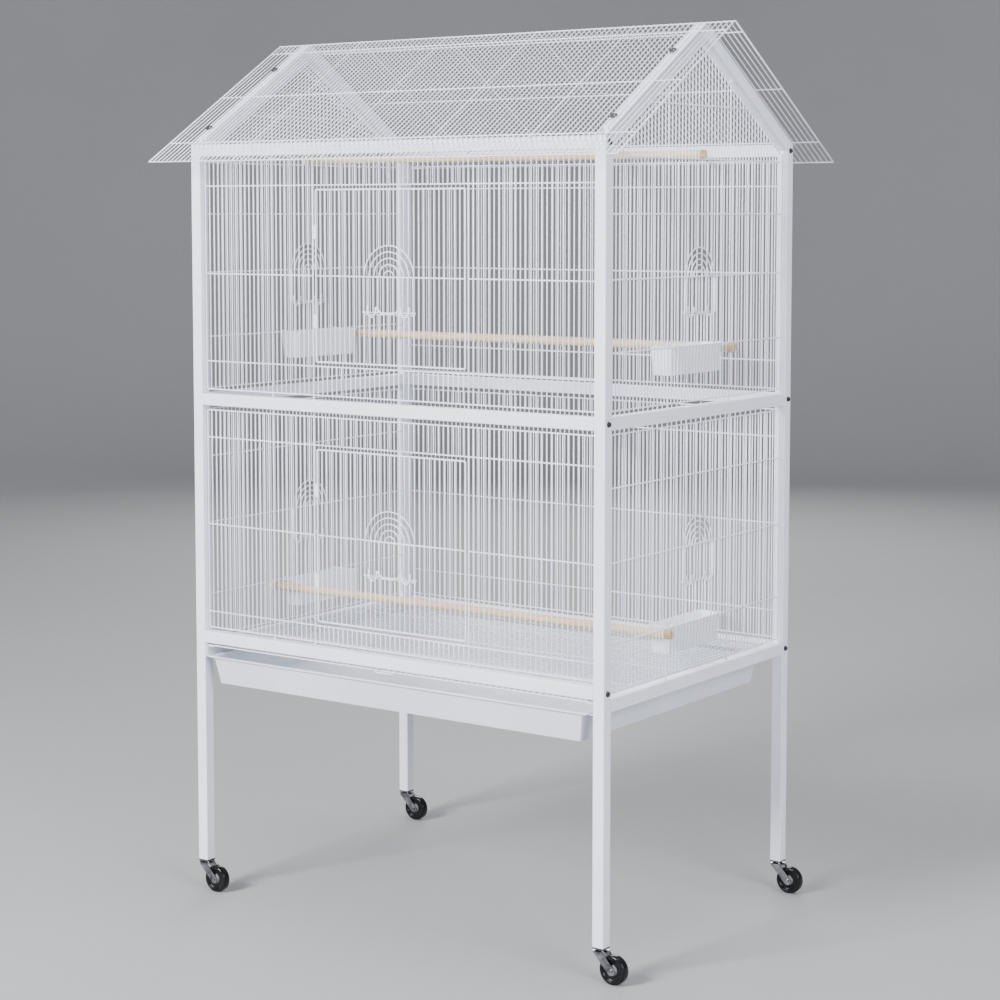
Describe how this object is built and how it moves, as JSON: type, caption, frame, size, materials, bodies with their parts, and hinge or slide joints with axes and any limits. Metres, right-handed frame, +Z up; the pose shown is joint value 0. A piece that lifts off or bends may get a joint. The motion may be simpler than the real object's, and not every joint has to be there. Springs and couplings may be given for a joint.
{
  "type": "bird cage on stand",
  "caption": "White wire bird cage on a tubular stand with castors, gabled wire roof, tiers with doors and feeding gates, feeders, wooden perches, grate and slide-out tray.",
  "frame": {"origin": "on the floor under the middle of the cage", "axes": "+Z up, front faces -Y, +X to the right seen from the front"},
  "size_m": [1.0232, 0.7492, 1.608],
  "materials": {
    "frame_tube": "satin white powder coat",
    "cage_wire": "satin white powder coat",
    "grate_wire": "satin white powder coat",
    "tray_sheet": "satin white powder coat",
    "runner_sheet": "satin white powder coat",
    "feeder_plastic": "pale moulded plastic",
    "perch_wood": "plain light wood",
    "bolt_black": "black oxide",
    "screw_steel": "zinc plated",
    "clip_white": "satin white powder coat",
    "plug_black": "moulded black plastic",
    "fork_chrome": "bright plated",
    "wheel_black": "gloss black plastic"
  },
  "bodies": {
    "cage": {"back_bottom_rail": "frame_tube", "back_left_leg": "frame_tube", "back_left_rafter": "frame_tube", "back_lower_panel": "cage_wire", "back_mid_rail": "frame_tube", "back_right_leg": "frame_tube", "back_right_rafter": "frame_tube", "back_roof_panel": "cage_wire", "back_top_rail": "frame_tube", "back_upper_panel": "cage_wire", "door_hinge_clips": "clip_white", "frame_bolts": "bolt_black", "front_bottom_rail": "frame_tube", "front_left_leg": "frame_tube", "front_left_rafter": "frame_tube", "front_lower_panel": "cage_wire", "front_mid_rail": "frame_tube", "front_right_leg": "frame_tube", "front_right_rafter": "frame_tube", "front_roof_panel": "cage_wire", "front_top_rail": "frame_tube", "front_upper_panel": "cage_wire", "left_bottom_rail": "frame_tube", "left_lower_feeder": "feeder_plastic", "left_lower_panel": "cage_wire", "left_mid_rail": "frame_tube", "left_tray_runner": "runner_sheet", "left_upper_feeder": "feeder_plastic", "left_upper_panel": "cage_wire", "leg_plugs": "plug_black", "lower_perch": "perch_wood", "right_bottom_rail": "frame_tube", "right_lower_feeder": "feeder_plastic", "right_lower_panel": "cage_wire", "right_mid_rail": "frame_tube", "right_tray_runner": "runner_sheet", "right_upper_feeder": "feeder_plastic", "right_upper_panel": "cage_wire", "roof_screws": "screw_steel", "top_perch": "perch_wood", "upper_perch": "perch_wood"},
    "upper_door": {"upper_door": "cage_wire"},
    "upper_door_gate": {"upper_door_gate": "cage_wire"},
    "lower_door": {"lower_door": "cage_wire"},
    "lower_door_gate": {"lower_door_gate": "cage_wire"},
    "left_upper_gate": {"left_upper_gate": "cage_wire"},
    "left_lower_gate": {"left_lower_gate": "cage_wire"},
    "right_upper_gate": {"right_upper_gate": "cage_wire"},
    "right_lower_gate": {"right_lower_gate": "cage_wire"},
    "grate": {"grate": "grate_wire"},
    "tray": {"tray": "tray_sheet"},
    "front_left_fork": {"front_left_fork": "fork_chrome"},
    "front_left_wheel": {"front_left_wheel": "wheel_black"},
    "front_right_fork": {"front_right_fork": "fork_chrome"},
    "front_right_wheel": {"front_right_wheel": "wheel_black"},
    "back_left_fork": {"back_left_fork": "fork_chrome"},
    "back_left_wheel": {"back_left_wheel": "wheel_black"},
    "back_right_fork": {"back_right_fork": "fork_chrome"},
    "back_right_wheel": {"back_right_wheel": "wheel_black"}
  },
  "joints": [
    {"name": "upper_door_hinge", "type": "hinge", "parent": "cage", "child": "upper_door", "pos_m": [-0.165, -0.309, 1.168], "axis": [0, 0, -1], "range_deg": [0, 120]},
    {"name": "upper_door_gate_slide", "type": "slide", "parent": "upper_door", "child": "upper_door_gate", "axis": [0, 0, 1], "range_m": [0, 0.057]},
    {"name": "lower_door_hinge", "type": "hinge", "parent": "cage", "child": "lower_door", "pos_m": [-0.165, -0.309, 0.701], "axis": [0, 0, -1], "range_deg": [0, 120]},
    {"name": "lower_door_gate_slide", "type": "slide", "parent": "lower_door", "child": "lower_door_gate", "axis": [0, 0, 1], "range_m": [0, 0.057]},
    {"name": "left_upper_gate_slide", "type": "slide", "parent": "cage", "child": "left_upper_gate", "axis": [0, 0, 1], "range_m": [0, 0.057]},
    {"name": "left_lower_gate_slide", "type": "slide", "parent": "cage", "child": "left_lower_gate", "axis": [0, 0, 1], "range_m": [0, 0.057]},
    {"name": "right_upper_gate_slide", "type": "slide", "parent": "cage", "child": "right_upper_gate", "axis": [0, 0, 1], "range_m": [0, 0.057]},
    {"name": "right_lower_gate_slide", "type": "slide", "parent": "cage", "child": "right_lower_gate", "axis": [0, 0, 1], "range_m": [0, 0.057]},
    {"name": "grate_slide", "type": "slide", "parent": "cage", "child": "grate", "axis": [0, -1, 0], "range_m": [0, 0.4]},
    {"name": "tray_slide", "type": "slide", "parent": "cage", "child": "tray", "axis": [0, -1, 0], "range_m": [0, 0.55]},
    {"name": "front_left_swivel", "type": "hinge", "parent": "cage", "child": "front_left_fork", "pos_m": [-0.444, -0.309, 0.06], "axis": [0, 0, 1], "continuous": true},
    {"name": "front_left_roll", "type": "hinge", "parent": "front_left_fork", "child": "front_left_wheel", "pos_m": [-0.418, -0.309, 0.025], "axis": [0, 1, 0], "continuous": true},
    {"name": "front_right_swivel", "type": "hinge", "parent": "cage", "child": "front_right_fork", "pos_m": [0.444, -0.309, 0.06], "axis": [0, 0, 1], "continuous": true},
    {"name": "front_right_roll", "type": "hinge", "parent": "front_right_fork", "child": "front_right_wheel", "pos_m": [0.47, -0.309, 0.025], "axis": [0, 1, 0], "continuous": true},
    {"name": "back_left_swivel", "type": "hinge", "parent": "cage", "child": "back_left_fork", "pos_m": [-0.444, 0.309, 0.06], "axis": [0, 0, 1], "continuous": true},
    {"name": "back_left_roll", "type": "hinge", "parent": "back_left_fork", "child": "back_left_wheel", "pos_m": [-0.418, 0.309, 0.025], "axis": [0, 1, 0], "continuous": true},
    {"name": "back_right_swivel", "type": "hinge", "parent": "cage", "child": "back_right_fork", "pos_m": [0.444, 0.309, 0.06], "axis": [0, 0, 1], "continuous": true},
    {"name": "back_right_roll", "type": "hinge", "parent": "back_right_fork", "child": "back_right_wheel", "pos_m": [0.47, 0.309, 0.025], "axis": [0, 1, 0], "continuous": true}
  ]
}
